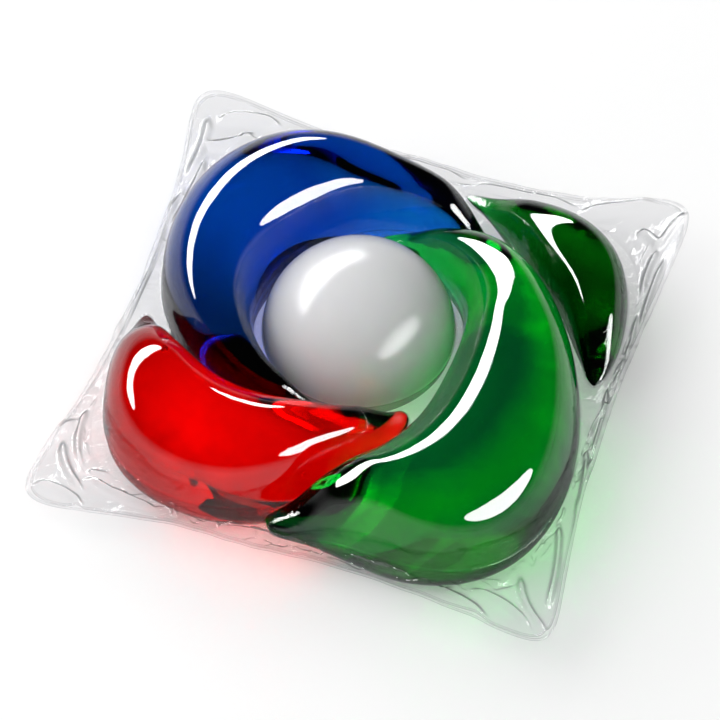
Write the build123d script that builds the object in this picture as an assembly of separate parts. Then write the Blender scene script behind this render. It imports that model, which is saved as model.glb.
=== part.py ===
from build123d import *

import os
from math import cos, radians, sin

# Laundry pod: five gel fills sealed between two clear water-soluble films.
#
# The upper film is drawn into five pockets: a round dome, and four curved horns that wind
# round it inside a rounded-square body.  The lower film closes them, and sags under each
# pocket to a flat spot that rests on the floor.  Outside the body the two films lie sealed
# together as a flat square rim with drawn-in sides and rounded corners.
#
# Frame: millimetres, +Z up, origin on the floor under the middle of the rim.

# The films.
film_thickness = 0.08
seal_height = 5.5  # from the floor to the plane where the two films meet
rim_side = 26.0  # from the middle to the rim's edge, half way along a side
rim_corner = 28.6  # from the middle to a corner's apex before rounding, along X and Y
rim_corner_radius = 3.2

# The body: the rounded square that the pockets fill.
body_half_x = 24.2
body_half_y = 23.8
body_squareness = 4.0  # exponent of the superellipse
web = 1.0  # sealed width between neighbouring pockets

# The round pocket.
dome_x = -1.9
dome_y = 3.0
dome_radius = 9.9
dome_height = 9.6
dome_sag = 6.2
fullness = 0.56  # how far its wall keeps going up, and its top sideways, before they bend

# The horn-shaped pockets.
horn_sag = 6.4  # how far they sag below the seal where they are wide
full_height_width = 12.0  # a horn narrower than this is lower too
tip_width = 0.9
sections_per_horn = 14

# Each horn is a run of sections across its cell, from one tip to the other.  A section
# joins a place on the cell's inner border to one on its outer border.  A place is an
# angle about the dome's centre in degrees, and a share of the way from the web round
# the dome, 0, to the body's border, 1.
horns = {
    "blue": {
        "rise": 8.6,
        "sections": [
            ((276, 0.00), (277, 0.12)),
            ((258, 0.00), (256, 0.175)),
            ((236, 0.00), (233, 0.27)),
            ((214, 0.00), (211, 0.48)),
            ((193, 0.00), (191, 0.81)),
            ((170, 0.00), (171, 0.98)),
            ((148, 0.02), (147, 0.97)),
            ((128, 0.07), (124, 0.98)),
            ((108, 0.19), (103, 0.98)),
            ((90, 0.30), (84, 0.90)),
            ((71, 0.38), (68, 0.72)),
            ((57, 0.43), (56, 0.56)),
        ],
    },
    "red": {
        "rise": 7.8,
        "sections": [
            ((193, 0.82), (195, 0.96)),
            ((206, 0.58), (207, 1.00)),
            ((221, 0.36), (219, 1.00)),
            ((237, 0.25), (232, 1.00)),
            ((253, 0.185), (245, 1.00)),
            ((269, 0.135), (258, 0.96)),
            ((284, 0.09), (270, 0.80)),
            ((297, 0.06), (283, 0.545)),
            ((308, 0.04), (297, 0.315)),
            ((315, 0.03), (311, 0.17)),
        ],
    },
    "green": {
        "rise": 8.8,
        "sections": [
            ((101, 0.02), (101, 0.17)),
            ((84, 0.00), (83, 0.30)),
            ((64, 0.00), (65, 0.37)),
            ((42, 0.00), (47, 0.45)),
            ((20, 0.00), (29, 0.53)),
            ((0, 0.00), (12, 0.69)),
            ((344, 0.03), (356, 0.90)),
            ((328, 0.075), (340, 1.01)),
            ((314, 0.165), (324, 1.04)),
            ((302, 0.27), (308, 1.04)),
            ((291, 0.42), (294, 1.01)),
            ((279, 0.63), (280, 1.00)),
            ((268, 0.85), (267, 0.97)),
        ],
    },
    "dark_green": {
        "rise": 7.8,
        "sections": [
            ((75, 0.84), (77, 0.98)),
            ((64, 0.69), (66, 1.00)),
            ((53, 0.56), (56, 1.00)),
            ((41, 0.49), (46, 1.00)),
            ((29, 0.54), (35, 1.00)),
            ((17, 0.64), (22, 1.00)),
            ((8, 0.75), (11, 1.00)),
            ((2, 0.84), (2, 0.97)),
        ],
    },
}

dome_centre = Vector(dome_x, dome_y, seal_height)


def body_reach(angle):
    """Distance from the dome's centre to the body's border, by halving an interval."""
    low, high = 0.0, 2 * (body_half_x + body_half_y)
    for _ in range(50):
        reach = (low + high) / 2
        x = (dome_x + reach * cos(radians(angle))) / body_half_x
        y = (dome_y + reach * sin(radians(angle))) / body_half_y
        if abs(x) ** body_squareness + abs(y) ** body_squareness < 1:
            low = reach
        else:
            high = reach
    return low


def place(angle, share):
    """A point on a cell's border, on the seal plane."""
    nearest = dome_radius + web / 2
    furthest = body_reach(angle) + web / 2
    reach = nearest + share * (furthest - nearest)
    return dome_centre + Vector(cos(radians(angle)), sin(radians(angle)), 0) * reach


def pocket_sections(horn):
    """(inner point, outer point) of evenly spaced sections between a horn's two borders."""
    inner_border, outer_border = [], []
    for inner, outer in horn["sections"]:
        start, end = place(*inner), place(*outer)
        middle, along = (start + end) / 2, (end - start).normalized()
        half = max((end - start).length - web, tip_width) / 2  # half the web is left each side
        inner_border.append(middle - along * half)
        outer_border.append(middle + along * half)
    inner_curve, outer_curve = Spline(inner_border), Spline(outer_border)
    steps = [index / (sections_per_horn - 1) for index in range(sections_per_horn)]
    return [(inner_curve @ step, outer_curve @ step) for step in steps]


def ellipse_arc(start, end, height, first, last):
    """Part of the upright ellipse on the line from start to end, by its angles."""
    along = (end - start).normalized()
    plane = Plane((start + end) / 2, x_dir=along, z_dir=along.cross(Vector(0, 0, 1)))
    half_width = (end - start).length / 2
    return Edge.make_ellipse(half_width, height, plane, start_angle=first, end_angle=last)


def horn_half(horn, up, grow=0.0):
    """A horn's half above the seal, or below it, with every wall moved out by grow."""
    ends = pocket_sections(horn)
    middles = [(start + end) / 2 for start, end in ends]
    full_height = horn["rise"] if up else horn_sag
    first = 0 if up else 180
    wires = []
    for index, (start, end) in enumerate(ends):
        shift = Vector(0, 0, 0)
        if index == 0:
            shift = (middles[0] - middles[1]).normalized() * grow
        if index == len(ends) - 1:
            shift = (middles[-1] - middles[-2]).normalized() * grow
        outward = (end - start).normalized() * grow
        slimness = max(0, 1 - (end - start).length / full_height_width)
        height = full_height * (1 - slimness**2) + grow
        arc = ellipse_arc(start - outward + shift, end + outward + shift, height, first, first + 180)
        wires.append(Wire([arc, Edge.make_line(arc @ 1, arc @ 0)]))
    return Solid.make_loft(wires)


def dome_half(up, grow=0.0):
    """The round pocket's half above the seal, or below it, with its wall moved out by grow."""
    side = Vector(dome_radius + grow, 0, 0)
    rise = Vector(0, 0, dome_height + grow if up else -dome_sag - grow)
    foot, pole = dome_centre + side, dome_centre + rise
    wall = Edge.make_bezier(foot, foot + rise * fullness, pole + side * fullness, pole)
    straights = [Edge.make_line(pole, dome_centre), Edge.make_line(dome_centre, foot)]
    return Solid.revolve(Face(Wire([wall, *straights])), 360, Axis(dome_centre, (0, 0, 1)))


def pocket_halves(up, grow=0.0):
    """Every pocket's half on one side of the seal, by the name of its gel."""
    halves = {f"{name}_gel": horn_half(horn, up, grow) for name, horn in horns.items()}
    halves["white_gel"] = dome_half(up, grow)
    return halves


def above(height):
    """A block wider and taller than the pod, standing on a height."""
    size = 3 * rim_corner
    return Pos(0, 0, height + size / 2) * Box(size, size, size)


def rim_plate(low, high):
    """One film's flat rim: four drawn-in sides with rounded corners."""
    sides = []
    for turn in range(4):
        arc = ThreePointArc((rim_corner, -rim_corner), (rim_side, 0), (rim_corner, rim_corner))
        sides.append(Rot(0, 0, 90 * turn) * arc)
    outline = Face(Wire([side.edge() for side in sides]))
    outline = fillet(outline.vertices(), rim_corner_radius)
    return Pos(0, 0, low) * extrude(outline, high - low)


upper_fills = pocket_halves(True)
lower_fills = {name: half & above(film_thickness) for name, half in pocket_halves(False).items()}

upper_film = rim_plate(seal_height, seal_height + film_thickness)
for skin in pocket_halves(True, film_thickness).values():
    upper_film += skin
for fill in upper_fills.values():
    upper_film -= fill

lower_film = rim_plate(seal_height - film_thickness, seal_height)
for skin in pocket_halves(False, film_thickness).values():
    lower_film += skin & above(0)
for fill in lower_fills.values():
    lower_film -= fill

parts = {name: half + lower_fills[name] for name, half in upper_fills.items()}
parts["upper_film"] = upper_film
parts["lower_film"] = lower_film

os.makedirs("parts", exist_ok=True)
for name, part in parts.items():
    export_step(part, f"parts/{name}.step")
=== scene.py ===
import math

import bmesh
import bpy
import numpy as np
from mathutils import Matrix, Vector
from mathutils.geometry import delaunay_2d_cdt


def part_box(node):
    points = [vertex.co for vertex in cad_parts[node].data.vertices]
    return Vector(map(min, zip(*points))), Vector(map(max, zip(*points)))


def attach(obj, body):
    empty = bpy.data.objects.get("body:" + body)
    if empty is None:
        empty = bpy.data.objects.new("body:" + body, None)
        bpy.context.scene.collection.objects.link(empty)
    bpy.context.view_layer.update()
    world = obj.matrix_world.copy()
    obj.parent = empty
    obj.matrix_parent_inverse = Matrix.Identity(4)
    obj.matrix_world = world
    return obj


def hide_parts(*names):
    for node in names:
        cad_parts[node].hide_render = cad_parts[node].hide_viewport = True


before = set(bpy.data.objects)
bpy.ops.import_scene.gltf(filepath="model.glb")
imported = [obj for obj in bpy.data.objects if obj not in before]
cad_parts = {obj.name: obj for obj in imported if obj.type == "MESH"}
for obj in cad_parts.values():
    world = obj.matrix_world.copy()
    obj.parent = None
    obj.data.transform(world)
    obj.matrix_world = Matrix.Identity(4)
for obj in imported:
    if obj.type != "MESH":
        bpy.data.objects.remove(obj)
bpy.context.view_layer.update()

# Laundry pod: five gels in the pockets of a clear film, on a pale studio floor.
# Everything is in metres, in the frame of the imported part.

MM = 0.001
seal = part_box("lower_film")[1].z  # height of the plane where the two films meet
film_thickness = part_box("blue_gel")[0].z  # the gel lies on the film
gel_nodes = ["blue_gel", "red_gel", "green_gel", "dark_green_gel", "white_gel"]
dome_low, dome_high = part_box("white_gel")
dome_centre = np.array([(dome_low.x + dome_high.x) / 2, (dome_low.y + dome_high.y) / 2])
dome_radius = (dome_high.x - dome_low.x) / 2
weld = 1e-7  # vertices nearer than this are one


# ---------------------------------------------------------------- outlines from the frame

cut_height = 0.02 * MM  # above the seal, of the plane that cuts a horn's outline
outline_count = 2400  # points on a horn's outline
corner_window = 0.2 * MM  # over which an outline's turn is measured
rail_count = 400  # points that a rail's curve is fitted to


def cross_section(node, height):
    """The closed loop in which a horizontal plane cuts a CAD node, as (N, 2) points."""
    bm = bmesh.new()
    bm.from_mesh(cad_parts[node].data)
    bmesh.ops.remove_doubles(bm, verts=bm.verts, dist=weld)
    everything = bm.verts[:] + bm.edges[:] + bm.faces[:]
    plane = {"plane_co": (0, 0, height), "plane_no": (0, 0, 1)}
    cut = bmesh.ops.bisect_plane(bm, geom=everything, **plane)
    edges = {item for item in cut["geom_cut"] if isinstance(item, bmesh.types.BMEdge)}
    edge = min(edges, key=lambda e: sorted(v.co[:] for v in e.verts))  # the same in each run
    edges.discard(edge)
    start, here = edge.verts
    loop = [start, here]
    while True:
        ahead = next((e for e in here.link_edges if e in edges), None)
        if ahead is None:
            break
        edges.discard(ahead)
        here = ahead.other_vert(here)
        if here is start:
            break
        loop.append(here)
    points = np.array([(v.co.x, v.co.y) for v in loop])
    bm.free()
    return points


def resample(points, count, closed=False):
    """count points at even steps along a polyline."""
    line = np.vstack([points, points[:1]]) if closed else points
    along = np.concatenate([[0], np.cumsum(np.linalg.norm(np.diff(line, axis=0), axis=1))])
    at = np.linspace(0, along[-1], count, endpoint=not closed)
    return np.stack([np.interp(at, along, line[:, k]) for k in range(2)], axis=1)


def horn_rails(node):
    """The two long sides of a horn's outline, as smooth curves from one tip to the other."""
    count = outline_count
    loop = resample(cross_section(node, seal + cut_height), count, closed=True)
    step = np.linalg.norm(loop - np.roll(loop, 1, axis=0), axis=1).mean()
    window = max(2, round(corner_window / step))
    before = loop - np.roll(loop, window, axis=0)
    after = np.roll(loop, -window, axis=0) - loop
    lengths = np.linalg.norm(before, axis=1), np.linalg.norm(after, axis=1)
    cosine = (before * after).sum(1) / lengths[0] / lengths[1]
    turn = np.arccos(np.clip(cosine, -1, 1))
    corners = []
    for index in np.argsort(-turn):
        apart = [min(abs(index - c), count - abs(index - c)) for c in corners]
        if all(gap > 2 * window for gap in apart):
            corners.append(int(index))
        if len(corners) == 4:
            break
    corners.sort()
    spans = list(zip(corners, corners[1:] + [corners[0] + count]))
    spans.sort(key=lambda span: span[1] - span[0])
    first, second = (loop[np.arange(a, b + 1) % count] for a, b in spans[2:])
    if np.linalg.norm(first[0] - second[0]) > np.linalg.norm(first[0] - second[-1]):
        second = second[::-1]
    return [smooth_curve(resample(rail, rail_count)) for rail in (first, second)]


def smooth_curve(points, degree=11):
    """A polynomial through the points, as a function of 0 to 1."""
    t = np.linspace(0, 1, len(points))
    fits = [np.polynomial.Chebyshev.fit(t, points[:, k], degree) for k in range(2)]
    return lambda at: np.stack([fit(at) for fit in fits], axis=-1)


# ---------------------------------------------------------------- pocket surfaces

full_height_width = 12 * MM  # a horn narrower than this is lower too
slim_power = 1.5  # how late it loses height as it narrows
horn_sag = 6.4 * MM  # of the film under a horn, before it flattens on the floor
dome_sag = 6.2 * MM
floor_softness = 0.25 * MM  # of the bend where it flattens
section_count = 110  # sections of a pocket, from tip to tip
profile_count = 26  # points over a section, from one side to the other
upper_squareness = 2.35
lower_squareness = 2.2
tip_round = 1.3 * MM  # radius of a horn's tip
tip_taper = 7.0 * MM  # over which a horn loses height towards its tip
tip_share = 0.35  # of its height that is left there


def profile(squareness):
    """(-1 to 1 across, 0 to 1 up) over a section, as a superellipse."""
    angle = np.linspace(0, math.pi, profile_count)
    across = -np.sign(np.cos(angle)) * np.abs(np.cos(angle)) ** (2 / squareness)
    up = np.abs(np.sin(angle)) ** (2 / squareness)
    up[0] = up[-1] = 0
    return across, up


def horn_sections(node):
    """Middle, half width vector, rise and sag of each section of a horn."""
    t = (1 - np.cos(np.linspace(0, math.pi, section_count))) / 2
    lines = [rail(t) for rail in horn_rails(node)]
    lines.sort(key=lambda line: np.linalg.norm(line - dome_centre, axis=1).mean())
    inner, outer = lines
    middle, half = (inner + outer) / 2, (outer - inner) / 2
    width = 2 * np.linalg.norm(half, axis=1)
    slim = np.clip(1 - width / full_height_width, 0, 1)
    share = 1 - slim**slim_power
    for tip in (0, -1):
        away = np.linalg.norm(middle - middle[tip], axis=1)
        taper = np.clip(away / tip_taper, 0, 1)
        share = share * (tip_share + (1 - tip_share) * taper**2 * (3 - 2 * taper))
        round_off = np.sqrt(1 - (1 - np.clip(away / tip_round, 0, 1)) ** 2)
        half = half * round_off[:, None]
        share = share * round_off
    full_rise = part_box(node)[1].z - seal
    return middle, half, share * full_rise, share * horn_sag


def horn_grid(middle, half, height, squareness):
    """Points over the sections: (section, point over it, xyz)."""
    across, up = profile(squareness)
    plan = middle[:, None, :] + half[:, None, :] * across[None, :, None]
    z = height[:, None] * up[None, :]
    return np.concatenate([plan, z[..., None]], axis=2)


def to_mesh(name, verts, faces, material, smooth=True):
    mesh = bpy.data.meshes.new(name)
    mesh.from_pydata([tuple(v) for v in verts], [], faces)
    mesh.validate()
    mesh.materials.append(material)
    mesh.polygons.foreach_set("use_smooth", [smooth] * len(mesh.polygons))
    mesh.update()
    piece = bpy.data.objects.new(name, mesh)
    bpy.context.scene.collection.objects.link(piece)
    return piece


def soft_floor(z, floor, softness):
    """z, held above the floor with a small smooth bend."""
    over = z - floor
    return floor + (over + np.sqrt(over**2 + softness**2)) / 2


def bubble(centre, radius):
    """A small air bubble in a gel: vertices, and faces that look into it."""
    sphere = bmesh.new()
    bmesh.ops.create_icosphere(sphere, subdivisions=3, radius=radius)
    verts = [tuple(Vector(centre) + v.co) for v in sphere.verts]
    faces = [tuple(v.index for v in reversed(face.verts)) for face in sphere.faces]
    sphere.free()
    return verts, faces


def closed_pocket(name, node, material):
    """A gel: the upper and lower surface of a pocket, as one closed mesh."""
    upper, lower = grids[node]
    ring = np.concatenate([upper, lower[:, -2:0:-1]], axis=1)
    around = ring.shape[1]
    verts = [tuple(p) for p in ring[1:-1].reshape(-1, 3)]
    first, last = len(verts), len(verts) + 1
    verts += [tuple(ring[0, 0]), tuple(ring[-1, 0])]
    faces = []
    rows = len(ring) - 2
    for i in range(rows - 1):
        here, ahead = i * around, (i + 1) * around
        for j in range(around):
            k = (j + 1) % around
            faces.append((here + j, here + k, ahead + k, ahead + j))
    for j in range(around):
        k = (j + 1) % around
        faces.append((first, k, j))
        faces.append((last, (rows - 1) * around + j, (rows - 1) * around + k))
    piece = to_mesh(name, verts, faces, material)
    bm = bmesh.new()
    bm.from_mesh(piece.data)
    bmesh.ops.remove_doubles(bm, verts=bm.verts, dist=10 * weld)
    bmesh.ops.recalc_face_normals(bm, faces=bm.faces)
    bm.to_mesh(piece.data)
    bm.free()
    mark_across(piece, upper)
    add_bubbles(piece, node, upper, lower)
    return piece


def mark_across(piece, upper):
    """Stores on each vertex how far across the pocket it lies, 0 inside to 1 outside."""
    count = len(piece.data.vertices)
    places = np.empty(count * 3)
    piece.data.vertices.foreach_get("co", places)
    plan = places.reshape(-1, 3)[:, :2]
    inner, outer = upper[:, 0, :2], upper[:, -1, :2]
    middle = (inner + outer) / 2
    nearest = np.argmin(np.linalg.norm(plan[:, None] - middle[None], axis=2), axis=1)
    span = outer[nearest] - inner[nearest]
    share = ((plan - inner[nearest]) * span).sum(1) / np.maximum((span**2).sum(1), 1e-12)
    mark = piece.data.attributes.new("across", "FLOAT", "POINT")
    mark.data.foreach_set("value", np.clip(share, 0, 1).astype(np.float32))


# Share of the way along a pocket, across it and up through it, and radius in mm.
bubbles = {
    "red_gel": [(0.66, 0.42, 0.84, 0.42), (0.69, 0.36, 0.80, 0.2), (0.35, 0.7, 0.7, 0.16)],
    "blue_gel": [(0.62, 0.75, 0.86, 0.3), (0.66, 0.8, 0.84, 0.2), (0.7, 0.78, 0.8, 0.14)],
    "green_gel": [(0.42, 0.4, 0.86, 0.22), (0.3, 0.35, 0.8, 0.16)],
}


def add_bubbles(piece, node, upper, lower):
    """Adds a gel's air bubbles to its mesh."""
    sections, points = upper.shape[:2]
    bm = bmesh.new()
    bm.from_mesh(piece.data)
    for along, across, height, radius in bubbles.get(node, []):
        i, j = round(along * (sections - 1)), round(across * (points - 1))
        centre = lower[i, j] + (upper[i, j] - lower[i, j]) * height
        verts, faces = bubble(centre, radius * MM)
        fresh = [bm.verts.new(v) for v in verts]
        for face in faces:
            bm.faces.new([fresh[k] for k in face]).smooth = True
    bm.to_mesh(piece.data)
    bm.free()


def pocket_grids(node):
    """The upper and the lower surface of a pocket's gel."""
    if node == "white_gel":
        t = np.linspace(-math.pi / 2, math.pi / 2, section_count)
        middle = dome_centre + np.stack([dome_radius * np.sin(t), 0 * t], axis=1)
        half = np.stack([0 * t, dome_radius * np.cos(t)], axis=1)
        rise = (dome_high.z - seal) * np.cos(t)
        sag = dome_sag * np.cos(t)
        squareness = (2.0, 2.0)
    else:
        middle, half, rise, sag = horn_sections(node)
        squareness = (upper_squareness, lower_squareness)
    upper = horn_grid(middle, half, rise, squareness[0])
    lower = horn_grid(middle, half, -sag, squareness[1])
    upper[..., 2] += seal
    lower[..., 2] += seal
    z = lower[..., 2]
    below = z < seal - 1e-9  # the border itself stays on the seal plane
    lower[..., 2] = np.where(below, soft_floor(z, film_thickness, floor_softness), z)
    return upper, lower


grids = {node: pocket_grids(node) for node in gel_nodes}


# ---------------------------------------------------------------- materials

gel_ior = 1.38
swirl_reach = 0.16  # how far streaks move the colours across the pocket, with their painted glow and painted dark edges, as a share of the pocket's width
# darkest share of a gel's colour that the painted shading leaves
deepest_painted_shading = 0.12


def new_material(name):
    material = bpy.data.materials.new(name)
    material.use_nodes = True
    material.node_tree.nodes.clear()
    return material, material.node_tree.nodes, material.node_tree.links


def maths(nodes, links, operation, *values):
    """The result of a math node on numbers and other nodes' outputs."""
    node = nodes.new("ShaderNodeMath")
    node.operation = operation
    for k, value in enumerate(values):
        if isinstance(value, (int, float)):
            node.inputs[k].default_value = value
        else:
            links.new(value, node.inputs[k])
    return node.outputs[0]


def ranged(nodes, links, value, given, wanted, interpolation="LINEAR"):
    """A value moved from one (low, high) range to another, and held at its ends."""
    node = nodes.new("ShaderNodeMapRange")
    node.interpolation_type = interpolation
    node.inputs["From Min"].default_value, node.inputs["From Max"].default_value = given
    node.inputs["To Min"].default_value, node.inputs["To Max"].default_value = wanted
    links.new(value, node.inputs["Value"])
    return node.outputs["Result"]


def noise(nodes, links, place, scale, detail=2, distortion=0):
    node = nodes.new("ShaderNodeTexNoise")
    node.inputs["Scale"].default_value = scale
    node.inputs["Detail"].default_value = detail
    node.inputs["Distortion"].default_value = distortion
    links.new(place, node.inputs["Vector"])
    return node.outputs["Fac"]


def gel_material(name, colours_and_painted_light, absorbed, density, painted_shading):
    """Clear coloured gel.

    The colours across the pocket are (place across the pocket, colour): the gel's own colour, with
    a painted glow and painted darker edges in place of light through it, and the gel itself
    absorbs too. The painted shading is a direction, and the places along it in mm where painted
    shading makes the gel darkest and lightest."""
    material, nodes, links = new_material(name)
    out = nodes.new("ShaderNodeOutputMaterial")
    shader = nodes.new("ShaderNodeBsdfPrincipled")
    shader.inputs["Roughness"].default_value = 0.02
    shader.inputs["IOR"].default_value = gel_ior
    shader.inputs["Specular IOR Level"].default_value = 0.0  # the film on it has the gloss
    shader.inputs["Transmission Weight"].default_value = 1.0
    coordinates = nodes.new("ShaderNodeTexCoord").outputs["Object"]
    place = nodes.new("ShaderNodeAttribute")
    place.attribute_name = "across"
    streaks = noise(nodes, links, coordinates, 170, 2, 1.2)
    swirl = maths(nodes, links, "MULTIPLY_ADD", streaks, swirl_reach, -swirl_reach / 2)
    # Colours across the pocket: the gel's own colour, with a painted glow and painted darker edges
    # standing in for light through it.
    ramp = nodes.new("ShaderNodeValToRGB")
    ramp.color_ramp.interpolation = "EASE"
    for k, (at, colour) in enumerate(colours_and_painted_light):
        stop = ramp.color_ramp.elements[k] if k < 2 else ramp.color_ramp.elements.new(at)
        stop.position = at
        stop.color = (*colour, 1)
    links.new(maths(nodes, links, "ADD", place.outputs["Fac"], swirl), ramp.inputs["Fac"])
    # Painted shading: the gel's colour is darkened towards one end of a direction, as if less
    # light reached it there.
    direction, darkest, lightest = painted_shading
    along = nodes.new("ShaderNodeVectorMath")
    along.operation = "DOT_PRODUCT"
    along.inputs[1].default_value = direction
    links.new(coordinates, along.inputs[0])
    given = darkest * MM, lightest * MM
    painted_shading_level = ranged(nodes, links, along.outputs["Value"], given, (deepest_painted_shading, 1), "SMOOTHSTEP")
    with_painted_shading = nodes.new("ShaderNodeMix")
    with_painted_shading.data_type = "RGBA"
    with_painted_shading.blend_type = "MULTIPLY"
    with_painted_shading.inputs["Factor"].default_value = 1.0
    links.new(ramp.outputs["Color"], with_painted_shading.inputs["A"])
    links.new(painted_shading_level, with_painted_shading.inputs["B"])
    links.new(with_painted_shading.outputs["Result"], shader.inputs["Base Color"])
    bump = nodes.new("ShaderNodeBump")
    bump.inputs["Strength"].default_value = 0.5
    bump.inputs["Distance"].default_value = 0.2 * MM
    links.new(noise(nodes, links, coordinates, 110), bump.inputs["Height"])
    links.new(bump.outputs["Normal"], shader.inputs["Normal"])
    absorption = nodes.new("ShaderNodeVolumeAbsorption")
    absorption.inputs["Color"].default_value = (*absorbed, 1)
    absorption.inputs["Density"].default_value = density
    links.new(shader.outputs["BSDF"], out.inputs["Surface"])
    links.new(absorption.outputs["Volume"], out.inputs["Volume"])
    return material


def white_gel_material(name):
    """Milky gel: cloudy white, a little uneven."""
    material, nodes, links = new_material(name)
    out = nodes.new("ShaderNodeOutputMaterial")
    shader = nodes.new("ShaderNodeBsdfPrincipled")
    coordinates = nodes.new("ShaderNodeTexCoord").outputs["Object"]
    ramp = nodes.new("ShaderNodeValToRGB")
    ramp.color_ramp.elements[0].position = 0.3
    ramp.color_ramp.elements[0].color = (0.955, 0.955, 0.96, 1)
    ramp.color_ramp.elements[1].position = 0.7
    ramp.color_ramp.elements[1].color = (0.99, 0.99, 0.99, 1)
    links.new(noise(nodes, links, coordinates, 140, 3), ramp.inputs["Fac"])
    links.new(ramp.outputs["Color"], shader.inputs["Base Color"])
    shader.inputs["Roughness"].default_value = 0.4
    shader.inputs["Subsurface Weight"].default_value = 1.0
    shader.inputs["Subsurface Radius"].default_value = (1, 1, 1)
    shader.inputs["Subsurface Scale"].default_value = 12 * MM
    links.new(shader.outputs["BSDF"], out.inputs["Surface"])
    return material


# Each coloured gel's colours across its pocket carry a painted glow and painted darker edges, and
# a painted shading darkens one end of it.
gels = {
    "blue_gel": gel_material(
        "blue gel",
        [
            (0.0, (0.02, 0.12, 0.6)),
            (0.28, (0.05, 0.36, 0.6)),
            (0.75, (0.04, 0.38, 0.6)),
            (1.0, (0.004, 0.02, 0.2)),
        ],
        absorbed=(0.05, 0.68, 0.9),
        density=420,
        painted_shading=((0.25, 0.97, 0.0), -9.0, 3.0),
    ),
    "red_gel": gel_material(
        "red gel",
        [
            (0.0, (0.7, 0.01, 0.01)),
            (0.4, (1.0, 0.03, 0.02)),
            (0.7, (0.85, 0.008, 0.01)),
            (1.0, (0.25, 0.0, 0.01)),
        ],
        absorbed=(0.99, 0.08, 0.08),
        density=420,
        painted_shading=((0.94, -0.34, 0.0), -21.0, -9.0),
    ),
    "green_gel": gel_material(
        "green gel",
        [
            (0.0, (0.02, 0.3, 0.16)),
            (0.5, (0.005, 0.13, 0.12)),
            (0.78, (0.04, 1.0, 0.04)),
            (1.0, (0.01, 0.2, 0.14)),
        ],
        absorbed=(0.1, 0.93, 0.72),
        density=420,
        painted_shading=((0.8, 0.6, 0.0), -15.0, 3.0),
    ),
    "dark_green_gel": gel_material(
        "dark green gel",
        [(0.0, (0.01, 0.1, 0.03)), (0.55, (0.02, 0.42, 0.06)), (1.0, (0.01, 0.15, 0.05))],
        absorbed=(0.1, 0.78, 0.3),
        density=480,
        painted_shading=((0.0, 1.0, 0.0), 13.0, 19.0),
    ),
    "white_gel": white_gel_material("white gel"),
}
for node in gel_nodes:
    piece = closed_pocket(node.replace("_gel", "_fill"), node, gels[node])
    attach(piece, "root")
    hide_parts(node)


# ---------------------------------------------------------------- film

film_gap = 0.05 * MM  # between a gel and the film over it
flare = 0.25 * MM  # radius of the film's bend from a pocket's wall into the web
flare_steps = 4
ring_half = (24.55 * MM, 24.45 * MM)  # where the flat web ends and the wavy rim begins
ring_squareness = 5.0
ring_count = 1100  # points round the rim
rim_steps = 46  # rings of points from the web out to the film's edge
bead_radius = 0.13 * MM  # of the film's thickened edge
bead_steps = 8
# Plan position and lift of the rim's corners, anticlockwise from front left, and how far out
# the edge is half way along the side that follows each.
rim_corners = [(-28.2, -28.3, -0.6), (29.1, -28.3, -1.0), (26.8, 28.3, 2.4), (-28.6, 28.4, 0.9)]
rim_reach = [26.3, 25.7, 26.4, 24.95]
rim_corner_round = 7.5  # mm of the edge on either side of a point that round it off
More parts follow.
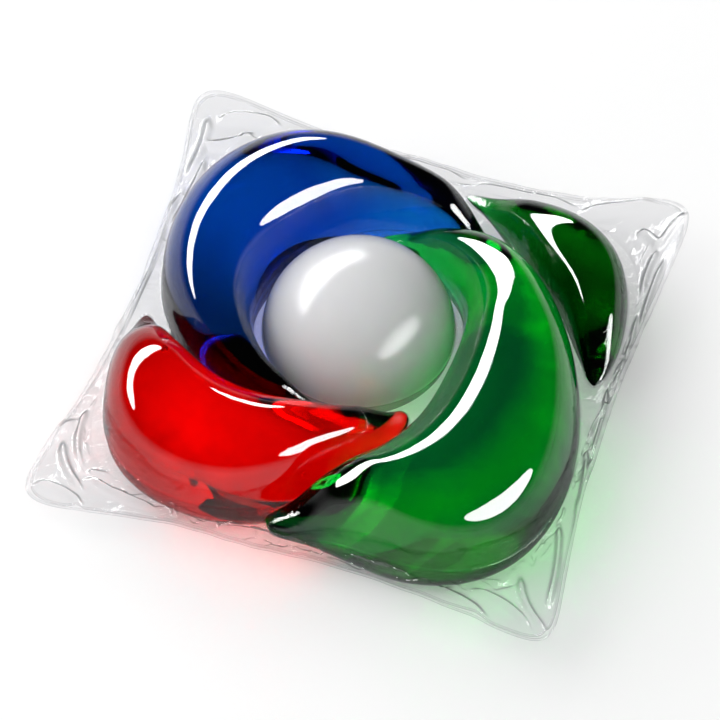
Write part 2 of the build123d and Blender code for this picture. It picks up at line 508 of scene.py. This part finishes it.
# Folds of the rim: from, to, height, half width and sideways bend, in mm on the plan.
rim_folds = [
    ((-26.6, -26.2), (-21.0, -27.2), 0.55, 0.45, 0.5),
    ((-25.6, -20.5), (-21.6, -25.6), 0.5, 0.4, -0.6),
    ((-24.6, -16.0), (-23.2, -22.2), 0.4, 0.35, -0.5),
    ((-21.5, -23.8), (-14.0, -25.4), 0.45, 0.35, -0.3),
    ((-27.6, -23.5), (-25.2, -17.5), 0.35, 0.5, 0.3),
    ((-12.8, -24.4), (-11.6, -25.8), 0.4, 0.25, 0.2),
    ((-7.0, -25.6), (2.5, -24.7), 0.42, 0.3, 0.4),
    ((-7.0, -25.5), (-4.6, -24.2), 0.35, 0.25, 0.2),
    ((6.5, -24.6), (13.5, -25.0), 0.45, 0.35, -0.5),
    ((13.0, -25.6), (22.0, -27.2), 0.45, 0.5, 0.5),
    ((19.5, -24.6), (26.5, -26.8), 0.4, 0.4, 0.6),
    ((23.6, -21.6), (27.9, -26.4), 0.5, 0.4, -0.7),
    ((25.2, -14.0), (27.2, -24.0), 0.45, 0.35, 0.4),
    ((26.2, -11.0), (28.4, -22.0), 0.35, 0.3, 0.3),
    ((24.9, -4.0), (26.6, -12.5), 0.45, 0.3, 0.3),
    ((24.6, 3.8), (25.6, -4.2), 0.55, 0.25, 0.3),
    ((25.5, 1.6), (24.7, -2.8), 0.45, 0.22, -0.2),
    ((24.7, 14.0), (25.2, 4.0), 0.4, 0.3, 0.25),
    ((25.3, 21.0), (25.7, 11.0), 0.45, 0.3, -0.3),
    ((21.5, 24.2), (24.3, 22.4), 0.6, 0.45, 0.3),
    ((24.3, 22.4), (26.0, 26.4), 0.6, 0.4, 0.3),
    ((24.3, 22.4), (24.4, 16.5), 0.5, 0.35, -0.3),
    ((15.0, 25.0), (22.5, 27.2), 0.45, 0.5, 0.4),
    ((3.0, 24.9), (14.0, 25.6), 0.4, 0.4, 0.3),
    ((-9.0, 25.2), (2.0, 25.5), 0.35, 0.35, 0.25),
    ((-24.8, 24.6), (-18.5, 25.9), 0.55, 0.5, 0.5),
    ((-25.0, 21.0), (-20.8, 24.0), 0.6, 0.45, -0.5),
    ((-22.6, 20.6), (-20.2, 23.6), 0.4, 0.3, 0.4),
    ((-25.9, 24.5), (-25.4, 16.5), 0.45, 0.5, 0.4),
    ((-24.4, 19.5), (-24.8, 9.0), 0.4, 0.35, 0.3),
    ((-25.3, 14.0), (-24.8, 2.0), 0.35, 0.3, -0.25),
    ((-24.7, 3.0), (-25.6, -7.5), 0.45, 0.3, 0.3),
    ((-25.0, -4.0), (-26.4, -14.5), 0.4, 0.35, 0.35),
]
fold_gain = 1.9  # on the heights above
crinkle_count = 150  # short random folds at the foot of the pockets
corner_lift_reach = 8.0  # mm over which a corner's lift fades
corner_lift_power = 1.3
long_wave = 0.28  # mm, height of the waves along the sides
ripple = 0.09
flat_share = 1 / 6  # of the rim's width, over which it leaves the seal plane
side_length = 55  # mm, about what a side of the rim measures
side_count = 200  # points on a side of the rim, before it is evened out
rim_count = 2400  # and after that, on the whole rim
grey_power = 1.9  # how suddenly a slant turns the film grey
shine_power = 5.0  # and makes it mirror


def film_material(name, shine, edge_shine):
    """Clear film: grey where it is seen at a slant, glossy, finely crinkled at its foot.

    shine is the share of light that it mirrors, and edge_shine what a slant adds to it."""
    material, nodes, links = new_material(name)
    out = nodes.new("ShaderNodeOutputMaterial")
    coordinates = nodes.new("ShaderNodeTexCoord").outputs["Object"]
    slant = nodes.new("ShaderNodeLayerWeight")
    slant.inputs["Blend"].default_value = 0.5
    facing = slant.outputs["Facing"]
    # Where the film lies on gel its own thickness doesn't show, so only the rim turns grey.
    split = nodes.new("ShaderNodeSeparateXYZ")
    links.new(coordinates, split.inputs[0])
    from_seal = maths(nodes, links, "SUBTRACT", split.outputs["Z"], seal)
    height = maths(nodes, links, "ABSOLUTE", from_seal)
    loose = ranged(nodes, links, height, (2.6 * MM, 4.6 * MM), (1.0, 0.08))
    slanted = maths(nodes, links, "POWER", facing, grey_power)
    tint = nodes.new("ShaderNodeMix")
    tint.data_type = "RGBA"
    tint.inputs["A"].default_value = (0.94, 0.94, 0.945, 1)
    tint.inputs["B"].default_value = (0.4, 0.41, 0.42, 1)
    links.new(maths(nodes, links, "MULTIPLY", slanted, loose), tint.inputs["Factor"])
    clear = nodes.new("ShaderNodeBsdfTransparent")
    links.new(tint.outputs["Result"], clear.inputs["Color"])
    # Crinkles fade out up the pockets' walls.
    bump = nodes.new("ShaderNodeBump")
    bump.inputs["Distance"].default_value = 0.4 * MM
    foot = ranged(nodes, links, height, (0.3 * MM, 4.0 * MM), (0.45, 0.02))
    links.new(foot, bump.inputs["Strength"])
    links.new(noise(nodes, links, coordinates, 650, 3, 1.5), bump.inputs["Height"])
    # The film is duller over the milky pocket.
    from_dome = nodes.new("ShaderNodeVectorMath")
    from_dome.operation = "DISTANCE"
    from_dome.inputs[1].default_value = (dome_centre[0], dome_centre[1], dome_high.z)
    links.new(coordinates, from_dome.inputs[0])
    border = 0.85 * dome_radius, 1.15 * dome_radius
    dull = ranged(nodes, links, from_dome.outputs["Value"], border, (0.26, 0.035))
    gloss = nodes.new("ShaderNodeBsdfGlossy")
    links.new(dull, gloss.inputs["Roughness"])
    links.new(bump.outputs["Normal"], gloss.inputs["Normal"])
    mirrored = maths(nodes, links, "POWER", facing, shine_power)
    share = maths(nodes, links, "MULTIPLY_ADD", mirrored, edge_shine, shine)
    mix = nodes.new("ShaderNodeMixShader")
    links.new(share, mix.inputs[0])
    links.new(clear.outputs[0], mix.inputs[1])
    links.new(gloss.outputs[0], mix.inputs[2])
    links.new(mix.outputs[0], out.inputs["Surface"])
    return material


def grid_normals(grid):
    """Unit normals of a grid of points, by central differences."""
    along = np.gradient(grid, axis=0)
    across = np.gradient(grid, axis=1)
    normal = np.cross(along, across)
    length = np.linalg.norm(normal, axis=2, keepdims=True)
    return normal / np.maximum(length, 1e-12)


def pocket_skin(grid, sign):
    """A pocket's film: vertices, faces, and the indices of its outermost loop in order.

    sign is 1 above the seal and -1 below it."""
    normal = grid_normals(grid)
    middle = grid.mean(axis=(0, 1))
    if ((grid - middle) * normal).sum() < 0:
        normal = -normal
    skin = grid + normal * film_gap
    sections, points = skin.shape[:2]
    z = skin[..., 2]
    skin[..., 2] = np.where(sign * (z - seal) < flare, seal + sign * flare, z)
    verts = [tuple(p) for p in skin[1:-1].reshape(-1, 3)]
    first, last = len(verts), len(verts) + 1
    verts += [tuple(skin[0].mean(axis=0)), tuple(skin[-1].mean(axis=0))]
    rows = sections - 2
    faces = []
    for i in range(rows - 1):
        for j in range(points - 1):
            a = i * points + j
            faces.append((a, a + 1, a + points + 1, a + points))
    for j in range(points - 1):
        faces.append((first, j + 1, j))
        faces.append((last, (rows - 1) * points + j, (rows - 1) * points + j + 1))
    loop = [first] + [i * points for i in range(rows)] + [last]
    loop += [i * points + points - 1 for i in reversed(range(rows))]
    base = np.array([verts[k] for k in loop])
    tangent = np.roll(base, -1, axis=0) - np.roll(base, 1, axis=0)
    outward = np.stack([tangent[:, 1], -tangent[:, 0]], axis=1)
    outward /= np.maximum(np.linalg.norm(outward, axis=1, keepdims=True), 1e-12)
    area = (base[:, 0] * np.roll(base[:, 1], -1) - np.roll(base[:, 0], -1) * base[:, 1]).sum()
    if area < 0:
        outward = -outward
    for step in range(1, flare_steps + 1):
        angle = step / flare_steps * math.pi / 2
        ring = base.copy()
        ring[:, :2] += outward * flare * (1 - math.cos(angle))
        ring[:, 2] = seal + sign * flare * (1 - math.sin(angle))
        start = len(verts)
        verts += [tuple(p) for p in ring]
        fresh = list(range(start, start + len(ring)))
        faces += band(loop, fresh)
        loop = fresh
    return verts, faces, loop


def band(inner, outer):
    """Quads between two closed loops of as many points."""
    ahead = zip(inner[1:] + inner[:1], outer[1:] + outer[:1])
    return [(a, b, c, d) for a, d, (b, c) in zip(inner, outer, ahead)]


def superellipse_loop(half, squareness, count):
    """A rounded square as a closed loop, at even steps of angle."""
    angle = np.linspace(0, 2 * math.pi, count, endpoint=False)
    c, s = np.cos(angle), np.sin(angle)
    powers = np.abs(c / half[0]) ** squareness + np.abs(s / half[1]) ** squareness
    reach = powers ** (-1 / squareness)
    return np.stack([reach * c, reach * s], axis=1)


def inside(points, loop):
    """Which points lie inside a closed loop, by counting crossings."""
    x, y = points[:, 0][:, None], points[:, 1][:, None]
    x1, y1 = loop[:, 0][None], loop[:, 1][None]
    x2, y2 = np.roll(loop[:, 0], -1)[None], np.roll(loop[:, 1], -1)[None]
    spans = (y1 > y) != (y2 > y)
    crossing = x1 + (y - y1) * (x2 - x1) / np.where(y2 == y1, 1e-12, y2 - y1)
    return (spans & (x < crossing)).sum(axis=1) % 2 == 1


def fold_height(x, y, start, end, height, width, bend):
    """A soft ridge along a slightly bent line from start to end, in mm.

    It is highest along the middle, and fades and narrows at its ends."""
    run = (end[0] - start[0], end[1] - start[1])
    length = math.hypot(*run)
    ux, uy = run[0] / length, run[1] / length
    along = ((x - start[0]) * ux + (y - start[1]) * uy) / length
    aside = -(x - start[0]) * uy + (y - start[1]) * ux - bend * 4 * along * (1 - along)
    ends = np.clip(np.minimum(along, 1 - along) * 4 + 0.25, 0, 1)
    width = width * (0.6 + 0.4 * ends)
    return height * ends**2 * (3 - 2 * ends) * np.exp(-((aside / width) ** 2))


def random_crinkles():
    """Short folds along the foot of the pockets, most of them at the front and the right."""
    rng = np.random.default_rng(11)
    folds = []
    for _ in range(crinkle_count):
        angle = rng.uniform(0, 2 * math.pi)
        if rng.random() < 0.5:
            angle = rng.uniform(-0.75 * math.pi, 0.2 * math.pi)
        square = (abs(math.cos(angle)) ** 6 + abs(math.sin(angle)) ** 6) ** (1 / 6)
        reach = rng.uniform(24.4, 25.6) / square
        x, y = reach * math.cos(angle), reach * math.sin(angle)
        lean = round(angle / (math.pi / 2)) * math.pi / 2 + math.pi / 2 + rng.normal(0, 0.35)
        length = rng.uniform(0.8, 3.0)
        across = (math.cos(lean) * length / 2, math.sin(lean) * length / 2)
        height = rng.uniform(0.1, 0.3) * rng.choice([-1, 1])
        ends = (x - across[0], y - across[1]), (x + across[0], y + across[1])
        folds.append((*ends, height, rng.uniform(0.14, 0.3), rng.uniform(-0.3, 0.3)))
    return folds


crinkles = random_crinkles()


def rim_lift(plan, share):
    """Height of the rim above the seal plane, by plan position and share 0 to 1 outwards."""
    x, y = plan[:, 0] / MM, plan[:, 1] / MM
    angle = np.arctan2(y, x)
    lift = np.zeros(len(x))
    for cx, cy, up in rim_corners:
        away = np.hypot(x - cx, y - cy)
        lift += up * np.exp(-((away / corner_lift_reach) ** 2)) * share**corner_lift_power
    for fold in rim_folds:
        lift += fold_gain * fold_height(x, y, *fold)
    for fold in crinkles:
        lift += fold_height(x, y, *fold)
    # Long shallow waves along the sides, and finer ripples that weaken outwards.
    lift += long_wave * np.sin(9 * angle + 1.3 * np.sin(3 * angle)) * share
    finer = np.sin(41 * angle + 2.1 * np.sin(7 * angle) + 3 * share)
    lift += ripple * finer * share * (1 - 0.4 * share)
    rooted = np.clip(share / flat_share, 0, 1)
    return lift * MM * rooted


def film_sheet(name, grids, sign, edge_scale, material):
    """One whole film: pocket skins, the flat web between them, and the wavy rim."""
    verts, faces, loops = [], [], []
    for grid in grids:
        v, f, loop = pocket_skin(grid, sign)
        start = len(verts)
        verts += v
        faces += [tuple(k + start for k in face) for face in f]
        loops.append([k + start for k in loop])
    ring = superellipse_loop(ring_half, ring_squareness, ring_count)
    ring_start = len(verts)
    verts += [(x, y, seal) for x, y in ring]
    ring_index = list(range(ring_start, ring_start + ring_count))
    # The web: a triangulation between the pockets' loops and the ring.
    border = [ring_index] + loops
    flat = [k for loop in border for k in loop]
    where = {k: n for n, k in enumerate(flat)}
    plan = np.array([verts[k][:2] for k in flat])
    steps = [step for loop in border for step in zip(loop, loop[1:] + loop[:1])]
    edges = [(where[a], where[b]) for a, b in steps]
    scaled = [Vector(p) / MM for p in plan]
    points, _, triangles, origin, _, _ = delaunay_2d_cdt(scaled, edges, [], 0, 1e-7)
    points = np.array([tuple(p) for p in points]) * MM
    centres = np.array([points[list(t)].mean(axis=0) for t in triangles])
    keep = inside(centres, ring)
    for loop in loops:
        keep &= ~inside(centres, np.array([verts[k][:2] for k in loop]))
    index = []
    for n, source in enumerate(origin):
        if source:
            index.append(flat[source[0]])
        else:
            index.append(len(verts))
            verts.append((points[n][0], points[n][1], seal))
    for n, triangle in enumerate(triangles):
        if keep[n]:
            faces.append(tuple(index[k] for k in triangle))
    # The rim: rings from the web's edge out to the film's edge.
    edge = rim_outline(ring, edge_scale)
    before = ring_index
    for step in range(1, rim_steps + 1):
        share = step / rim_steps
        plan = ring + (edge - ring) * share
        lift = rim_lift(plan, share)
        start = len(verts)
        verts += [(x, y, seal + h) for (x, y), h in zip(plan, lift)]
        fresh = list(range(start, start + ring_count))
        faces += band(before, fresh)
        before = fresh
    # The film's edge is a small bead.
    rim = np.array([verts[k] for k in before])
    outward = np.roll(rim, -1, axis=0) - np.roll(rim, 1, axis=0)
    outward = np.stack([outward[:, 1], -outward[:, 0]], axis=1)
    outward /= np.linalg.norm(outward, axis=1, keepdims=True)
    for step in range(1, bead_steps + 1):
        turn = 2 * math.pi * step / (bead_steps + 1)
        ring_points = rim.copy()
        ring_points[:, :2] += outward * bead_radius * (1 - math.cos(turn))
        ring_points[:, 2] += sign * bead_radius * math.sin(turn)
        start = len(verts)
        verts += [tuple(p) for p in ring_points]
        fresh = list(range(start, start + ring_count))
        faces += band(before, fresh)
        before = fresh
    piece = to_mesh(name, verts, faces, material)
    bm = bmesh.new()
    bm.from_mesh(piece.data)
    bmesh.ops.remove_doubles(bm, verts=bm.verts, dist=weld)
    loose = [v for v in bm.verts if not v.link_faces]
    bmesh.ops.delete(bm, geom=loose, context="VERTS")
    bmesh.ops.recalc_face_normals(bm, faces=bm.faces)
    bm.to_mesh(piece.data)
    bm.free()
    return piece


def rim_outline(ring, scale):
    """The film's outer edge, one point for each point of the ring."""
    corners = [Vector(c[:2]) for c in rim_corners]
    line = []
    for k, corner in enumerate(corners):
        ahead = corners[(k + 1) % 4]
        middle = (corner + ahead) / 2
        inward = Vector((-middle.x, -middle.y)).normalized()
        sag = max(0.0, middle.length - rim_reach[k])
        for step in range(side_count):
            t = step / side_count
            line.append(corner.lerp(ahead, t) + inward * sag * 4 * t * (1 - t))
    line = resample(np.array([tuple(p) for p in line]), rim_count, closed=True)
    window = int(rim_corner_round / (4 * side_length / rim_count))
    kernel = np.hanning(2 * window + 1)
    kernel /= kernel.sum()
    padded = np.vstack([line[-window:], line, line[:window]])
    line = np.stack([np.convolve(padded[:, k], kernel, mode="valid") for k in range(2)], axis=1)
    angles = np.arctan2(line[:, 1], line[:, 0])
    order = np.argsort(angles)
    reach = np.hypot(line[:, 0], line[:, 1])[order] * scale
    wanted = np.arctan2(ring[:, 1], ring[:, 0])
    at = np.interp(wanted, angles[order], reach, period=2 * math.pi)
    return np.stack([at * np.cos(wanted), at * np.sin(wanted)], axis=1) * MM


top_film = film_material("clear film", shine=0.03, edge_shine=0.5)
base_film = film_material("clear film under the gels", shine=0.02, edge_shine=0.2)
# Piece, which surface of the pockets, side of the seal, size of the outline, material.
films = (
    ("film_top", 0, 1, 1.0, top_film),
    ("film_base", 1, -1, 0.986, base_film),
)
for name, side, sign, edge_scale, material in films:
    piece = film_sheet(name, [grids[node][side] for node in gel_nodes], sign, edge_scale, material)
    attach(piece, "root")
    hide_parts("upper_film" if sign > 0 else "lower_film")


# ---------------------------------------------------------------- stage and light

floor_size = 2.0
floor_drop = 0.2 * MM  # below the pod, so that the two don't touch
floor_glow = 0.26
glow_through = 3.2  # times brighter through the pod

floor_material, nodes, links = new_material("floor")
out = nodes.new("ShaderNodeOutputMaterial")
diffuse = nodes.new("ShaderNodeBsdfDiffuse")
diffuse.inputs["Color"].default_value = (0.85, 0.85, 0.85, 1)
# The glow is seen, mirrored and looked at through the pod, and lights next to nothing.
rays = nodes.new("ShaderNodeLightPath").outputs
seen = maths(nodes, links, "MAXIMUM", rays["Is Camera Ray"], rays["Is Glossy Ray"])
through = maths(nodes, links, "MULTIPLY", rays["Is Transmission Ray"], glow_through)
brightest = maths(nodes, links, "MAXIMUM", seen, through)
level = maths(nodes, links, "MULTIPLY", brightest, floor_glow)
direct = maths(nodes, links, "LESS_THAN", rays["Diffuse Depth"], 0.5)
glow = nodes.new("ShaderNodeEmission")
glow.inputs["Color"].default_value = (1, 1, 1, 1)
links.new(maths(nodes, links, "MULTIPLY", level, direct), glow.inputs["Strength"])
both = nodes.new("ShaderNodeAddShader")
links.new(diffuse.outputs[0], both.inputs[0])
links.new(glow.outputs[0], both.inputs[1])
links.new(both.outputs[0], out.inputs["Surface"])
bm = bmesh.new()
bmesh.ops.create_grid(bm, x_segments=2, y_segments=2, size=floor_size)
mesh = bpy.data.meshes.new("floor")
bm.to_mesh(mesh)
bm.free()
mesh.materials.append(floor_material)
floor = bpy.data.objects.new("floor", mesh)
bpy.context.scene.collection.objects.link(floor)
floor.location.z = -floor_drop

world = bpy.data.worlds.new("studio")
bpy.context.scene.world = world
world.use_nodes = True
nodes, links = world.node_tree.nodes, world.node_tree.links
coordinates = nodes.new("ShaderNodeTexCoord")
split = nodes.new("ShaderNodeSeparateXYZ")
links.new(coordinates.outputs["Generated"], split.inputs[0])
# Pale low down and dimmer overhead, and darker still where it is mirrored.
sky = ranged(nodes, links, split.outputs["Z"], (0.02, 0.5), (0.9, 0.12), "SMOOTHSTEP")
mirrored = ranged(nodes, links, split.outputs["Z"], (0.0, 0.24), (0.8, 0.012), "SMOOTHSTEP")
rays = nodes.new("ShaderNodeLightPath")
chosen = nodes.new("ShaderNodeMix")
links.new(rays.outputs["Is Glossy Ray"], chosen.inputs["Factor"])
links.new(sky, chosen.inputs["A"])
links.new(mirrored, chosen.inputs["B"])
links.new(chosen.outputs["Result"], nodes["Background"].inputs["Color"])


def face_pod(thing, direction, distance):
    """Puts a lamp or a card in a direction from the pod, turned to face it."""
    towards = Vector(direction).normalized()
    thing.location = towards * distance
    thing.rotation_euler = towards.to_track_quat("Z", "Y").to_euler()


def softbox(name, direction, distance, size, watts):
    """An area light that faces the pod from a direction."""
    data = bpy.data.lights.new(name, "AREA")
    data.shape = "RECTANGLE"
    data.size, data.size_y = size
    data.energy = watts
    lamp = bpy.data.objects.new(name, data)
    bpy.context.scene.collection.objects.link(lamp)
    face_pod(lamp, direction, distance)
    lamp.visible_glossy = False  # the cards are what reflections show


softbox("left_back", (-0.75, 0.45, 0.42), distance=0.8, size=(0.9, 0.6), watts=3.9)
softbox("key", (-0.5, -0.3, 0.81), distance=0.8, size=(0.6, 0.6), watts=2.9)
softbox("overhead", (0.25, -0.3, 0.92), distance=0.9, size=(0.5, 0.4), watts=1.9)


def card_material(name, glossy, through):
    """An even glow, of one strength in reflections and another through the pod."""
    material, nodes, links = new_material(name)
    out = nodes.new("ShaderNodeOutputMaterial")
    glow = nodes.new("ShaderNodeEmission")
    rays = nodes.new("ShaderNodeLightPath")
    pick = nodes.new("ShaderNodeMix")
    pick.inputs["A"].default_value = through
    pick.inputs["B"].default_value = glossy
    links.new(rays.outputs["Is Glossy Ray"], pick.inputs["Factor"])
    links.new(pick.outputs["Result"], glow.inputs["Strength"])
    links.new(glow.outputs[0], out.inputs["Surface"])
    return material


def card(name, direction, degrees, glossy, through, distance=0.7):
    """A bright oval card that only reflections and refractions see.

    degrees are its width and height as seen from the pod."""
    bm = bmesh.new()
    bmesh.ops.create_circle(bm, cap_ends=True, radius=0.5, segments=64)
    mesh = bpy.data.meshes.new(name)
    bm.to_mesh(mesh)
    bm.free()
    mesh.materials.append(card_material(name, glossy, through))
    piece = bpy.data.objects.new(name, mesh)
    bpy.context.scene.collection.objects.link(piece)
    face_pod(piece, direction, distance)
    width, height = (2 * distance * math.tan(math.radians(span / 2)) for span in degrees)
    piece.scale = (width, height, 1)
    piece.visible_camera = False
    piece.visible_diffuse = False
    piece.visible_shadow = False


card("card_left", (-0.72, 0.42, 0.57), degrees=(88, 17), glossy=30, through=1.6)
card("card_right", (0.86, -0.2, 0.38), degrees=(62, 24), glossy=21, through=1.4)

view_azimuth = math.radians(18.9)
view_elevation = math.radians(52)
view_distance = 0.72
frame_width = 73.8 * MM  # what the picture spans at the pod
aim_left, aim_down = 0.69 * MM, 0.38 * MM  # of the middle of the seal plane
sensor_width = 36

right = Vector((math.cos(view_azimuth), math.sin(view_azimuth), 0))
back = Vector((-math.sin(view_azimuth), math.cos(view_azimuth), 0))
towards = -back * math.cos(view_elevation) + Vector((0, 0, math.sin(view_elevation)))
up = towards.cross(right)
aim = Vector((0, 0, seal)) - right * aim_left - up * aim_down
camera_data = bpy.data.cameras.new("camera")
camera_data.sensor_width = sensor_width
camera_data.lens = sensor_width * view_distance / frame_width
camera_data.clip_start = 0.01
camera = bpy.data.objects.new("camera", camera_data)
bpy.context.scene.collection.objects.link(camera)
camera.matrix_world = Matrix.Translation(aim + towards * view_distance) @ Matrix(
    (right, up, towards)
).transposed().to_4x4()
bpy.context.scene.camera = camera
bpy.context.scene.view_settings.view_transform = "Standard"
